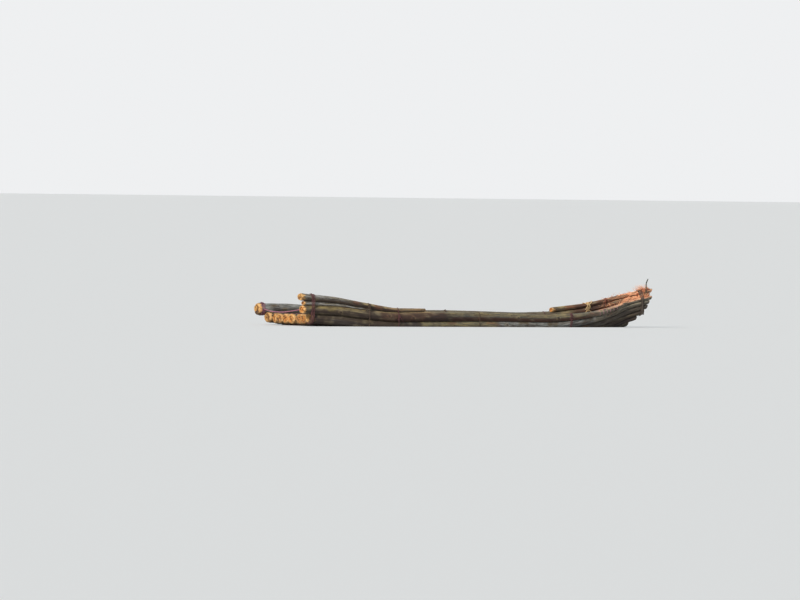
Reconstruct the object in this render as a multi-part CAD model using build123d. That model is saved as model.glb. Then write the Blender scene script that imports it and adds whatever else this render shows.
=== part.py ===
from build123d import *
from collections import namedtuple
from math import acos, atan2, cos, pi, radians, sin, tan
import os

# A small open boat of light pithy stems, laid side by side and bound with
# straps of bark. Their thick butts end square at the stern, and their thin
# tips are gathered into a high closed bow.
# Millimetres. +X is the bow, +Y is port, +Z is up, and z is 0 where the
# lowest strap touches the ground.

# Driving dimensions
hull_length = 2610.0
stern_x = -hull_length / 2
bow_x = hull_length / 2
seat_gap = 0.3         # between pieces that bear on each other
strap_thick = 2.4      # a bark strap pressed flat
strap_wide = 7.0
strap_pitch = 8.6      # from one turn of a lashing to the next
strap_room = strap_thick + 2 * seat_gap
keel_depth = strap_thick + seat_gap   # the strap runs under the keel stem
butt_to_swell = 855.0  # the long stems are thickest this far from the stern
swell_x = stern_x + butt_to_swell
quarter_length = 875.0
end_clearance = 15.0   # a lashing lies at least this far inside a stem's tip
least_run = 5.0        # between two cross-sections of a stem
least_arc = 0.02       # radians; a strap skips a stem that it only grazes

# The tie stick stands between the tips at the bow
stick_radius = 4.0
stick_x = bow_x - 50.0
stick_foot_z = 215.0
stick_bend_z = 358.0
stick_top_z = 384.0
stick_hook = 12.0      # how far the bent top leans forward
stick_bend_radius = 14.0
splay_x = stick_x - 155.0    # forward of it the tips part to let the stick in

# The slack cord across the stern, from the binding on the port gunwale stem
# over the floor stems to the lashing on the starboard side
cord_radius = 3.0
cord_arc_share = 0.45    # of the shorter run beside a corner, taken by its arc
cord_route = [
    (-1246, 243.9, 182), (-1243, 214, 178), (-1238, 183, 171.5), (-1232, 150, 168.5),
    (-1226, 112, 167.5), (-1221, 74, 167), (-1217, 35, 168.5), (-1215, -8, 172),
    (-1214, -54, 175.5), (-1213, -102, 180), (-1212, -152, 185.5), (-1212.5, -208, 191),
    (-1213, -259.3, 198),
]


def station(number):
    """Place along the boat, from 0 at the stern to 10 at the bow."""
    return stern_x + number * hull_length / 10


# The packing stem ends just past a cross-section, where the quarter stem has
# come down on to the gunwale stem. The bow rail stem starts a little ahead of
# the fore lashings, and the bow lashing lies a little behind the foremost tip.
packing_end = 1.75
packing_overrun = 0.25
fore_lashings = 7.41
rail_ahead = 30.99
bow_lashing_back = 91.35
bow_lashing_x = bow_x - bow_lashing_back
bow_lashing_station = 10 * (1 - bow_lashing_back / hull_length)


# Cross-sections from stern to bow. A stem's place is found from the stem
# inboard of it: the climb is the angle above level of the line that joins
# their centres. The keel stem carries floor stems 1 to 4 on each side, and
# floor stem 4 carries the gunwale stem. The bottom is flat amidships, as the
# boat has to slide on a beach.
# rise is the height of the keel stem's underside, and taper goes from 0
# where the stems are thickest to 1 at their tips.
Section = namedtuple("Section", "station rise taper floor_1 floor_2 floor_3 floor_4 "
                                "gunwale_starboard gunwale_port")
sections = [Section(*row) for row in (
    (0.00, 100, 0.00, 0, 0, 0, 2, 74, 40),
    (1.00, 84, 0.00, 0, 0, 0, 6, 78, 52),
    (packing_end, 48, 0.00, 0, 0, 2, 14, 82, 64),
    (2.50, 17, 0.00, 0, 1, 3, 25, 84, 76),
    (3.25, 0, 0.00, 0, 1, 4, 42, 85, 82),
    (5.00, 0, 0.18, 0, 1, 6, 68, 85, 85),
    (6.75, 0, 0.36, 2, 4, 12, 68, 83, 83),
    (7.60, 10, 0.52, 7, 13, 26, 60, 80, 80),
    (8.35, 30, 0.73, 20, 32, 46, 66, 80, 80),
    (8.85, 58, 0.86, 36, 55, 66, 72, 80, 80),
    (9.25, 88, 0.93, 55, 80, 84, 86, 86, 86),
    (9.65, 118, 0.97, 60, 90, 90, 90, 90, 90),
    (10.00, 142, 1.00, 60, 90, 90, 90, 90, 90),
)]
section_x = [station(section.station) for section in sections]

# The stems, each after the one that carries it. climb names its column of
# the sections, or gives its own climbs at butt and tip. The radii are at the
# butt, at the thickest place and at the tip, and slant is the angle of the
# axe cut across the butt.
Stem = namedtuple("Stem", "name carrier side climb gap butt_x tip_x "
                          "butt_radius thick_radius tip_radius slant")
port, starboard = 1, -1
stems = [Stem(*row) for row in (
    ("keel_stem", None, 0, None, 0,
     stern_x + 88, bow_x - 175, 32.0, 33.0, 12.5, 12),
    ("floor_stem_starboard_1", "keel_stem", starboard, "floor_1", seat_gap,
     stern_x + 98, bow_x - 125, 30.0, 32.0, 11.5, -14),
    ("floor_stem_port_1", "keel_stem", port, "floor_1", seat_gap,
     stern_x + 83, bow_x - 110, 31.5, 33.0, 12.5, 8),
    ("floor_stem_starboard_2", "floor_stem_starboard_1", starboard, "floor_2", seat_gap,
     stern_x + 83, bow_x - 73, 32.5, 33.5, 11.5, 10),
    ("floor_stem_port_2", "floor_stem_port_1", port, "floor_2", seat_gap,
     stern_x + 73, bow_x - 60, 29.5, 32.0, 12.5, 16),
    ("floor_stem_starboard_3", "floor_stem_starboard_2", starboard, "floor_3", strap_room,
     stern_x + 64, bow_x - 50, 30.0, 33.0, 11.5, 20),
    ("floor_stem_port_3", "floor_stem_port_2", port, "floor_3", strap_room,
     stern_x + 76, bow_x - 43, 32.0, 33.0, 13.0, -12),
    ("floor_stem_starboard_4", "floor_stem_starboard_3", starboard, "floor_4", strap_room,
     stern_x + 70, bow_x - 37, 29.0, 31.0, 11.5, 24),
    ("floor_stem_port_4", "floor_stem_port_3", port, "floor_4", strap_room,
     stern_x + 63, bow_x - 30, 31.5, 31.5, 13.0, 14),
    ("gunwale_stem_starboard", "floor_stem_starboard_4", starboard, "gunwale_starboard",
     seat_gap, stern_x + 17, bow_x - 20, 25.0, 30.0, 11.5, 16),
    ("gunwale_stem_port", "floor_stem_port_4", port, "gunwale_port", strap_room,
     stern_x + 22, bow_x - 16, 36.0, 30.0, 13.0, 6),
    ("packing_stem", "gunwale_stem_starboard", starboard, (84, 88), seat_gap,
     stern_x + 23, station(packing_end) + packing_overrun, 14.0, 6.0, 6.0, 24),
    ("quarter_stem", "packing_stem", starboard, (88, 86), seat_gap,
     stern_x, stern_x + quarter_length, 22.5, 9.5, 9.5, 20),
    ("bow_rail_stem", "gunwale_stem_port", port, (120, 90), seat_gap,
     station(fore_lashings) + rail_ahead, bow_x, 17.0, 17.0, 13.0, 26),
)]
stem_named = {stem.name: stem for stem in stems}

# The lashings, each of a few turns side by side round the stems named
floor_3 = ["floor_stem_starboard_3", "floor_stem_starboard_2",
           "floor_stem_starboard_1", "keel_stem", "floor_stem_port_1",
           "floor_stem_port_2", "floor_stem_port_3"]
floor_2 = floor_3[1:-1]
starboard_side = ["floor_stem_starboard_3", "floor_stem_starboard_4",
                  "gunwale_stem_starboard"]
port_side = ["floor_stem_port_3", "floor_stem_port_4", "gunwale_stem_port"]
port_rail = ["gunwale_stem_port", "bow_rail_stem"]
bow_bundle = [stem.name for stem in stems if stem.tip_x > bow_lashing_x + end_clearance]
Lashing = namedtuple("Lashing", "name station turns around")
lashings = [Lashing(*row) for row in (
    ("floor_lashing_stern", 0.56, 2, floor_3),
    ("floor_lashing_aft", 2.14, 2, floor_3),
    ("floor_lashing_mid", 4.62, 2, floor_3),
    ("floor_lashing_fore", 7.16, 2, floor_2),
    ("starboard_lashing_stern", 0.35, 3, starboard_side[1:]
     + ["packing_stem", "quarter_stem"]),
    ("starboard_lashing_quarter", 1.83, 1, starboard_side + ["quarter_stem"]),
    ("starboard_lashing_aft", 2.60, 1, starboard_side + ["quarter_stem"]),
    ("starboard_lashing_mid", 4.85, 1, starboard_side),
    ("starboard_lashing_fore", fore_lashings, 2, starboard_side),
    ("port_lashing_stern", 0.22, 3, port_side[2:]),
    ("port_lashing_quarter", 1.52, 1, port_side),
    ("port_lashing_aft", 2.80, 1, port_side),
    ("port_lashing_mid", 4.85, 1, port_side),
    ("port_lashing_fore", fore_lashings, 1, port_side),
    ("rail_lashing_aft", 8.44, 2, port_rail),
    ("rail_lashing_fore", 8.84, 1, port_rail),
    ("bow_lashing", bow_lashing_station, 3, bow_bundle),
)]


def between(x, values):
    """Value at x on the straight line between the two nearest sections."""
    i = min(sum(edge < x for edge in section_x[1:-1]), len(section_x) - 2)
    share = (x - section_x[i]) / (section_x[i + 1] - section_x[i])
    return values[i] + share * (values[i + 1] - values[i])


def share_along(stem, x):
    """How far x lies along a stem, from 0 at its butt to 1 at its tip."""
    return min(max((x - stem.butt_x) / (stem.tip_x - stem.butt_x), 0), 1)


def radius_at(stem, x, taper):
    """A long stem swells to swell_x, then tapers; a short one tapers evenly."""
    if stem.tip_x < 0:
        return stem.butt_radius + share_along(stem, x) * (stem.tip_radius - stem.butt_radius)
    swell = 1.0
    if stem.butt_x < swell_x:
        swell = min(max((x - stem.butt_x) / (swell_x - stem.butt_x), 0), 1)
    return (stem.butt_radius + swell * (stem.thick_radius - stem.butt_radius)
            + taper * (stem.tip_radius - stem.thick_radius))


def climb_at(stem, section):
    """The angle above level from the carrying stem's centre to this one's."""
    if isinstance(stem.climb, str):
        return getattr(section, stem.climb)
    at_butt, at_tip = stem.climb
    return at_butt + share_along(stem, station(section.station)) * (at_tip - at_butt)


def splay_at(x):
    """Half the width left free between port and starboard stems."""
    share = max((x - splay_x) / (stick_x - splay_x), 0)
    return seat_gap + share * stick_radius


def circles():
    """Centre y, z and radius of every stem at every section."""
    found = {}
    for stem in stems:
        found[stem.name] = []
        for i, section in enumerate(sections):
            x = section_x[i]
            radius = radius_at(stem, x, section.taper)
            if stem.carrier is None:
                found[stem.name].append((0.0, keel_depth + section.rise + radius, radius))
                continue
            carrier = stem_named[stem.carrier]
            if carrier.tip_x < min(x, 0):
                carrier = stem_named[carrier.carrier]
            base_y, base_z, base_radius = found[carrier.name][i]
            near = sections[max(i - 1, 0):i + 2]
            turn = max(abs(climb_at(stem, other) - climb_at(stem, section))
                       for other in near)
            apart = base_radius + radius
            apart += stem.gap + apart * (1 - cos(radians(turn / 2)))
            climb = radians(climb_at(stem, section))
            offset = abs(base_y) + apart * cos(climb)
            least = radius + splay_at(x)
            if offset < least:
                offset = least
                climb = acos((offset - abs(base_y)) / apart)
            found[stem.name].append((stem.side * offset, base_z + apart * sin(climb), radius))
    return found


circles_of = circles()
port_edge = max(y + r for row in circles_of.values() for y, z, r in row)
starboard_edge = min(y - r for row in circles_of.values() for y, z, r in row)
keel_y = -(port_edge + starboard_edge) / 2   # puts y = 0 in the middle of the beam


def circle_at(name, x):
    """Centre y, z and radius of a stem where it crosses the plane at x."""
    y, z, radius = (between(x, column) for column in zip(*circles_of[name]))
    return y + keel_y, z, radius


def stem_solid(stem):
    """One stem: round sections joined by straight runs, its butt axe-cut."""
    slant = radians(stem.slant)
    reach = stem.butt_radius * tan(abs(slant))
    y, z, radius = circle_at(stem.name, stem.butt_x + reach)
    butt = Plane((stem.butt_x + reach, y, z), x_dir=(-sin(slant), cos(slant), 0),
                 z_dir=(cos(slant), sin(slant), 0))
    rings = [butt * Ellipse(radius / cos(slant), radius)]
    whole_x = stem.butt_x + 2 * reach + least_run
    inner = [x for x in section_x if whole_x + least_run < x < stem.tip_x - least_run]
    for x in [whole_x] + inner + [stem.tip_x]:
        y, z, radius = circle_at(stem.name, x)
        rings.append(Plane((x, y, z), x_dir=(0, 1, 0), z_dir=(1, 0, 0)) * Circle(radius))
    return loft(rings, ruled=True)


def wrap(discs):
    """Which discs a taut strap bears on, as (disc, first angle, last angle)."""
    here = max(range(len(discs)), key=lambda k: discs[k][0] + discs[k][2])
    turn, bears = 0.0, []
    while turn < 2 * pi:
        leave, following = 2 * pi, here
        y0, z0, r0 = discs[here]
        for k, (y, z, radius) in enumerate(discs):
            span = ((y - y0) ** 2 + (z - z0) ** 2) ** 0.5
            if k == here or span <= abs(r0 - radius):
                continue
            angle = atan2(z - z0, y - y0) - acos((r0 - radius) / span)
            angle = (angle - turn - 1e-9) % (2 * pi) + turn
            if angle < leave:
                leave, following = angle, k
        bears.append((here, turn, leave))
        turn, here = leave, following
    return bears


def outline(bears, discs, x, away):
    """Closed outline at x of arcs round the discs and lines between them."""
    def point(k, angle):
        y, z, radius = discs[k]
        return Vector(x, y + (radius + away) * cos(angle), z + (radius + away) * sin(angle))

    edges = []
    for i, (k, first, last) in enumerate(bears):
        following, begin = bears[(i + 1) % len(bears)][:2]
        middles = [first + (last - first) * share for share in (0.25, 0.5, 0.75)]
        if last - first > pi:
            edges.append(ThreePointArc(point(k, first), point(k, middles[0]), point(k, middles[1])))
            edges.append(ThreePointArc(point(k, middles[1]), point(k, middles[2]), point(k, last)))
        elif last - first > least_arc:
            edges.append(ThreePointArc(point(k, first), point(k, middles[1]), point(k, last)))
        if following != k:
            edges.append(Line(point(k, last), point(following, begin)))
    return Wire(edges)


def turn_solid(around, x):
    """One turn of strap drawn flat round the stems named, its middle at x."""
    bears = wrap([circle_at(name, x) for name in around])
    bears = [bear for bear in bears if bear[2] - bear[1] > least_arc]
    skins = []
    for away in (seat_gap + strap_thick, seat_gap):
        edges = [outline(bears, [circle_at(name, edge_x) for name in around], edge_x, away)
                 for edge_x in (x - strap_wide / 2, x + strap_wide / 2)]
        skins.append(Solid.make_loft(edges, ruled=True))
    return skins[0] - skins[1]


def lashing(row):
    """The turns of one lashing, side by side."""
    first = station(row.station) - strap_pitch * (row.turns - 1) / 2
    return Compound([turn_solid(row.around, first + strap_pitch * i)
                     for i in range(row.turns)])


def stick_solid():
    """The tie stick: a straight peg with its top bent forward."""
    path = FilletPolyline((stick_x, keel_y, stick_foot_z),
                          (stick_x, keel_y, stick_bend_z),
                          (stick_x + stick_hook, keel_y, stick_top_z),
                          radius=stick_bend_radius)
    return sweep(Plane((stick_x, keel_y, stick_foot_z)) * Circle(stick_radius),
                 path=path)


def cord_solid():
    """The cord: straight runs joined by arcs as wide as the runs allow."""
    corners = [Vector(*point) for point in cord_route]
    runs = [b - a for a, b in zip(corners, corners[1:])]
    radii = [cord_arc_share * min(a.length, b.length) / tan(radians(a.get_angle(b)) / 2)
             for a, b in zip(runs, runs[1:])]
    print("cord arc radii", [round(radius) for radius in radii])
    path = FilletPolyline(*corners, radius=radii)
    return sweep(Plane(corners[0], z_dir=runs[0]) * Circle(cord_radius), path=path)


os.makedirs("parts", exist_ok=True)
for stem in stems:
    export_step(stem_solid(stem), f"parts/{stem.name}.step")
for row in lashings:
    export_step(lashing(row), f"parts/{row.name}.step")
export_step(stick_solid(), "parts/tie_stick.step")
export_step(cord_solid(), "parts/stern_cord.step")
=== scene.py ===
from collections import namedtuple
from math import cos, pi, radians, sin

import bpy
import numpy as np
from mathutils import Matrix, Vector


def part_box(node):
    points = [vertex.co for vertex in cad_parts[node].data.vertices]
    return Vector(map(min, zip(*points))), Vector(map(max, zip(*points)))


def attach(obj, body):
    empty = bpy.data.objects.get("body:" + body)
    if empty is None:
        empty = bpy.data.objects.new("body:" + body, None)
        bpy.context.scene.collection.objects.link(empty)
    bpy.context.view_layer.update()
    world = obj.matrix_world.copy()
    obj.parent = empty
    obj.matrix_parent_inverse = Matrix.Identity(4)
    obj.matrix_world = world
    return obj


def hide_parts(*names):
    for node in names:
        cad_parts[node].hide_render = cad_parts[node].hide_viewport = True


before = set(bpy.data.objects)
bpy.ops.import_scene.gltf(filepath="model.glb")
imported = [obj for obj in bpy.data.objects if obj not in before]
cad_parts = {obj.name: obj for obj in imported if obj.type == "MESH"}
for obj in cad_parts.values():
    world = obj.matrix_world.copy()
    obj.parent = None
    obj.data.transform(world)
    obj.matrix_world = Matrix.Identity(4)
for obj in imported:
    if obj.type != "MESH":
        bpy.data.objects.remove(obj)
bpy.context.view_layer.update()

# The view is from far off on the starboard quarter, a little above the
# waterline, through a very long lens. Its bearing and tilt were fitted to the
# stems' butts, the side's top line and the tips.
camera_place = Vector((-31.610, -56.867, 0.878))
bow_bearing = radians(29)       # how far the bow points away from across the view
pan = radians(0.278)
tilt_down = radians(0.559)
roll = 0.0115                   # in radians
level = Vector((sin(bow_bearing - pan), cos(bow_bearing - pan), 0))
across = Vector((level.y, -level.x, 0))
aim = level * cos(tilt_down) - Vector((0, 0, sin(tilt_down)))
upward = across.cross(aim)
right = across * cos(roll) + upward * sin(roll)
upward = upward * cos(roll) - across * sin(roll)


def in_scene(name, data):
    """A new object in the scene that holds the data, at the origin."""
    made = bpy.data.objects.new(name, data)
    bpy.context.scene.collection.objects.link(made)
    return made


camera_data = bpy.data.cameras.new("camera")
camera_data.sensor_width = 36
camera_data.lens = 482.6
camera_data.clip_start = 1
camera_data.clip_end = 5000
camera = in_scene("camera", camera_data)
camera.matrix_world = Matrix.Translation(camera_place) @ Matrix(
    (right, upward, -aim)).transposed().to_4x4()
bpy.context.scene.camera = camera

# The stern cord is a slack pink cord laid of two strands. It leaves the binding
# on the port stem, lies over the butts of the floor stems and ends under the
# starboard lashing.
stern_cord_route = [
    (-1.246, 0.2439, 0.182), (-1.243, 0.214, 0.178), (-1.238, 0.183, 0.1715),
    (-1.232, 0.150, 0.1685), (-1.226, 0.112, 0.1675), (-1.221, 0.074, 0.167),
    (-1.217, 0.035, 0.1685), (-1.215, -0.008, 0.172), (-1.214, -0.054, 0.1755),
    (-1.213, -0.102, 0.180), (-1.212, -0.152, 0.1855), (-1.2125, -0.208, 0.191),
    (-1.213, -0.2593, 0.198),
]


def unit(vectors):
    """Each vector over its own length."""
    return vectors / np.linalg.norm(vectors, axis=1, keepdims=True)


def run_along(path):
    """How far along a path each of its points lies."""
    return np.concatenate([[0], np.cumsum(np.linalg.norm(np.diff(path, axis=0), axis=1))])


def read_off(wanted, run, points):
    """The points at wanted lengths of a run, each coordinate by itself."""
    return np.stack([np.interp(wanted, run, points[:, k]) for k in range(3)], axis=1)


def even_points(points, spacing):
    """The same line with its points a set spacing apart."""
    run = run_along(points)
    wanted = np.linspace(0, run[-1], max(int(round(run[-1] / spacing)), 3) + 1)
    return read_off(wanted, run, points)


def spline_points(route, spacing):
    """Points a set spacing apart on the smooth NURBS curve whose control
    points are the route, measured along the curve."""
    curve = bpy.data.curves.new("route", "CURVE")
    curve.dimensions = "3D"
    spline = curve.splines.new("NURBS")
    spline.points.add(len(route) - 1)
    for point, place in zip(spline.points, route):
        point.co = (*place, 1)
    spline.order_u = 3
    spline.use_endpoint_u = True
    spline.resolution_u = 16
    holder = in_scene("route", curve)
    mesh = bpy.data.meshes.new_from_object(holder)
    found = np.array([vertex.co[:] for vertex in mesh.vertices])
    bpy.data.objects.remove(holder)
    bpy.data.curves.remove(curve)
    bpy.data.meshes.remove(mesh)
    return even_points(found, spacing)


def ripple(seed, along, angle, turns, lengths=(1, 2), count=7):
    """Smooth noise of about -1 to 1 on a stem or strand: a sum of waves, each
    with a whole number of turns round it and a wavelength along it."""
    draw = np.random.default_rng(seed)
    total = 0
    for _ in range(count):
        around = draw.integers(turns[0], turns[1] + 1) * draw.choice((-1, 1))
        length = draw.uniform(*lengths)
        total = total + draw.uniform(0.5, 1) * np.cos(
            around * angle + 2 * pi * along / length + draw.uniform(0, 2 * pi))
    return total / (0.75 * count ** 0.5)


def tube(path, outward, wide, thick, section=12, loop=False, sharp=0.75):
    """A strip or strand swept along a path. Its section is a rounded box, wide
    across the outward direction and thick along it: the cosine and the sine of
    a full turn, each to the power sharp."""
    if loop:
        step = np.roll(path, -1, axis=0) - np.roll(path, 1, axis=0)
    else:
        step = np.gradient(path, axis=0)
    tangent = unit(step)
    out = unit(outward - tangent * (outward * tangent).sum(axis=1, keepdims=True))
    side = np.cross(out, tangent)
    angle = np.linspace(0, 2 * pi, section, endpoint=False)
    flat = np.sign(np.cos(angle)) * abs(np.cos(angle)) ** sharp
    tall = np.sign(np.sin(angle)) * abs(np.sin(angle)) ** sharp
    wide = np.broadcast_to(wide, (len(path), section))[..., None]
    thick = np.broadcast_to(thick, (len(path), section))[..., None]
    points = (path[:, None] + side[:, None] * flat[:, None] * wide / 2
              + out[:, None] * tall[:, None] * thick / 2)
    run = np.broadcast_to(run_along(path)[:, None], points.shape[:2])
    grain = np.stack([run, flat * wide[..., 0] / 2, tall * thick[..., 0] / 2], axis=2)
    return {"points": points, "loop": loop, "marks": {"grain": grain}}


def piece(name, grids, material, nodes=()):
    """One mesh from grids of points. Rows of a grid are joined to the next row
    and round to themselves, and its ends close on their middles unless it is a
    loop. It rides on the boat and stands for the nodes named."""
    faces, fans, start = [], [], 0
    columns = {key: [] for key in ("points", *grids[0]["marks"])}
    for grid in grids:
        values = {"points": grid["points"], **grid["marks"]}
        rows, around = grid["points"].shape[:2]
        index = start + np.arange(rows * around).reshape(rows, around)
        if grid["loop"]:
            index = np.concatenate([index, index[:1]])
        turned = np.roll(index, -1, axis=1)
        faces += np.stack([index[:-1], turned[:-1], turned[1:], index[1:]],
                          axis=2).reshape(-1, 4).tolist()
        for key, value in values.items():
            columns[key].append(value.reshape(rows * around, -1))
        start += rows * around
        if not grid["loop"]:
            for row, first, second in ((0, turned[0], index[0]), (-1, index[-1], turned[-1])):
                for key, value in values.items():
                    columns[key].append(value[row].reshape(around, -1).mean(axis=0)[None])
                fans += np.stack([np.full(around, start), first, second], axis=1).tolist()
                start += 1
    columns = {key: np.concatenate(rows) for key, rows in columns.items()}
    mesh = bpy.data.meshes.new(name)
    mesh.from_pydata(columns.pop("points").tolist(), [], faces + fans)
    mesh.shade_smooth()
    for key, values in columns.items():
        kind, field = (("FLOAT_VECTOR", "vector") if values.shape[1] == 3
                       else ("FLOAT", "value"))
        mesh.attributes.new(key, kind, "POINT").data.foreach_set(
            field, values.astype(np.float32).ravel())
    mesh.materials.append(material)
    made = in_scene(name, mesh)
    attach(made, "root")
    if nodes:
        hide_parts(*nodes)
    return made


class Wire:
    """A node's output, on which Python arithmetic adds Math nodes."""

    def __init__(self, finish, socket):
        self.finish, self.socket = finish, socket

    def math(self, operation, *others):
        return self.finish.node("ShaderNodeMath", dict(enumerate((self, *others))),
                                operation=operation)

    def __add__(self, other):
        return self.math("ADD", other)

    def __sub__(self, other):
        return self.math("SUBTRACT", other)

    def __rsub__(self, other):
        return self.finish.node("ShaderNodeMath", {0: other, 1: self}, operation="SUBTRACT")

    def __mul__(self, other):
        return self.math("MULTIPLY", other)

    __radd__, __rmul__ = __add__, __mul__

    def between(self, low, high):
        """0 below low, 1 above high and a smooth rise from one to the other."""
        return self.finish.node("ShaderNodeMapRange", {0: self, 1: low, 2: high, 3: 0, 4: 1},
                                interpolation_type="SMOOTHSTEP")


def opaque(colour):
    return (*colour, 1.0)


class Finish:
    """A material in the making, or the world, and its nodes."""

    def __init__(self, name, kind="materials"):
        self.made = getattr(bpy.data, kind).new(name)
        self.made.use_nodes = True
        self.tree = self.made.node_tree

    def node(self, kind, inputs, output=0, **settings):
        """Adds one node: its settings first, then the values or links of its
        sockets. Gives the wire of one output."""
        made = self.tree.nodes.new(kind)
        for key, value in settings.items():
            setattr(made, key, value)
        for key, value in inputs.items():
            self.feed(made.inputs[key], value)
        return Wire(self, made.outputs[output])

    def feed(self, socket, value):
        if isinstance(value, Wire):
            self.tree.links.new(value.socket, socket)
        else:
            socket.default_value = value

    def mark(self, name, output="Fac"):
        return self.node("ShaderNodeAttribute", {}, output, attribute_name=name)

    def noise(self, vector, scale, detail=3.0, rough=0.5):
        """Noise of 0 to 1, its grain set by a scale for each axis, per metre."""
        stretched = self.node("ShaderNodeVectorMath", {0: vector, 1: scale},
                              operation="MULTIPLY")
        return self.node("ShaderNodeTexNoise", {"Vector": stretched, "Scale": 1.0,
                                                "Detail": detail, "Roughness": rough})

    def mix(self, share, first, second):
        """The second colour over the first, by a share. A Mix node takes its
        colours at sockets 6 and 7, and gives one at output 2."""
        first, second = (colour if isinstance(colour, Wire) else opaque(colour)
                         for colour in (first, second))
        return self.node("ShaderNodeMix", {0: share, 6: first, 7: second}, 2,
                         data_type="RGBA")

    def dim(self, colour, share):
        return self.node("ShaderNodeVectorMath", {0: colour, "Scale": share},
                         operation="SCALE")

    def done(self, colour, roughness, height=None, depth=0.001, **fixed):
        """The material. Colour, roughness and bump height go to its Principled
        shader, and fixed values are set on the shader's own sockets."""
        inputs = self.tree.nodes["Principled BSDF"].inputs
        self.feed(inputs["Base Color"], colour)
        self.feed(inputs["Roughness"], roughness)
        if height is not None:
            self.feed(inputs["Normal"], self.node(
                "ShaderNodeBump", {"Height": height, "Distance": depth, "Strength": 1.0}))
        for key, value in fixed.items():
            inputs[key.replace("_", " ")].default_value = value
        return self.made


def cord_finish(name, light, dark, dirt):
    """Faded cord: fine yarns along each strand, dirt in blotches."""
    finish = Finish(name)
    grain = finish.mark("grain", "Vector")
    yarn = finish.noise(grain, (500, 1500, 1500), 2.0)
    blotch = finish.noise(grain, (28, 90, 90), 2.0)
    colour = finish.mix(yarn.between(0.3, 0.7), dark, light)
    colour = finish.mix(blotch.between(0.52, 0.78) * 0.7, colour, dirt)
    return finish.done(colour, 0.85, yarn, 0.0006)


pink_cord = cord_finish("pink_cord", (0.62, 0.27, 0.36), (0.30, 0.10, 0.17),
                        (0.16, 0.07, 0.06))
strand_size, strand_lead = 0.0031, 0.016
cord_line = spline_points(stern_cord_route, 0.0015)


def laid_strands(line, count, size, lead):
    """Strands laid round a line: each is a helix half a strand off it that
    turns once in each lead."""
    tangent = unit(np.gradient(line, axis=0))
    side = unit(np.cross(tangent, (0, 0, 1.0)))
    top = np.cross(side, tangent)
    run = run_along(line)
    grids = []
    for k in range(count):
        turn = (2 * pi * (run / lead + k / count))[:, None]
        off = side * np.cos(turn) + top * np.sin(turn)
        grids.append(tube(line + off * size * 0.46, off, size, size, 8, sharp=1.0))
    return grids


stern_cord = piece("stern_cord_laid", laid_strands(cord_line, 2, strand_size, strand_lead),
                   pink_cord, ["stern_cord"])

# The long stems are whole stems of a pithy swamp wood, very light, with thin
# ridged bark. They are cut square with an axe at the stern, where bark splits
# back from the peach coloured pith, and grow thin to the bow.
bark_thick = 0.0016
around_stem = 48                # points round a stem
corner_smooth = 0.04            # half the length over which a stem's line is eased
smooth_step = 0.004
StemLine = namedtuple("StemLine", "x y z radius butt tip slope")
lines = {}


def ring_rows(node):
    """Place, centre and radius of a CAD stem's whole rings, read where many of
    its vertices share one x, after those of its slanted butt."""
    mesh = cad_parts[node].data
    points = np.empty(3 * len(mesh.vertices))
    mesh.vertices.foreach_get("co", points)
    points = points.reshape(-1, 3)
    places, which, count = np.unique(np.round(points[:, 0], 4), return_inverse=True,
                                     return_counts=True)
    ring_has, round_to = 40, 0.0004     # vertices at least, height less width at most
    rows = []
    for k in np.flatnonzero(count >= ring_has):
        low, high = points[which == k].min(axis=0), points[which == k].max(axis=0)
        size = (high - low)[1:]
        if abs(size[0] - size[1]) < round_to:
            rows.append((places[k], *((low + high) / 2)[1:], size.mean() / 2))
    butt = points[points[:, 0] < rows[0][0] - 0.0003]
    low, high = butt.min(axis=0), butt.max(axis=0)
    left, far = butt[butt[:, 1].argmin()], butt[butt[:, 1].argmax()]
    slope = (far[0] - left[0]) / (far[1] - left[1])
    rows.insert(0, ((low[0] + high[0]) / 2, *((low + high) / 2)[1:], (high - low)[2] / 2))
    return np.array(rows), slope


def line_of(node):
    """A stem's centre and radius along it: straight runs between the rings,
    eased at their corners by a running mean. Also the places of its butt and
    tip, and the slope of its butt."""
    if node not in lines:
        rows, slope = ring_rows(node)
        ends = []
        for end, inner in ((rows[0], rows[1]), (rows[-1], rows[-2])):
            ends.append(end + (end - inner) * 0.1 / abs(end[0] - inner[0]))
        full = np.vstack([ends[0], rows, ends[1]])
        x = np.arange(full[0, 0], full[-1, 0], smooth_step)
        count = int(2 * corner_smooth / smooth_step) + 1
        eased = [np.convolve(np.interp(x, full[:, 0], full[:, k]), np.ones(count) / count,
                             "valid") for k in (1, 2, 3)]
        half = count // 2
        lines[node] = StemLine(x[half:-half], *eased, rows[0, 0], rows[-1, 0], slope)
    return lines[node]


def disc(node, x):
    """Centre y, z and radius of a stem at x."""
    line = line_of(node)
    return tuple(np.interp(x, line.x, values) for values in (line.y, line.z, line.radius))


def window(value, low, high, soft):
    """1 between low and high, falling to 0 over a soft edge inside them."""
    return np.clip((value - low) / soft, 0, 1) * np.clip((high - value) / soft, 0, 1)


def angle_from(angle, middle):
    """The turn from a middle angle, between minus and plus half a turn."""
    return (angle - middle + pi) % (2 * pi) - pi


def near_angle(angle, middle, half, soft=0.35):
    """1 within half of a middle angle, both in degrees, falling to 0 beyond."""
    apart = abs(angle_from(angle, radians(middle)))
    return np.clip((radians(half) - apart) / soft + 1, 0, 1)


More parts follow.
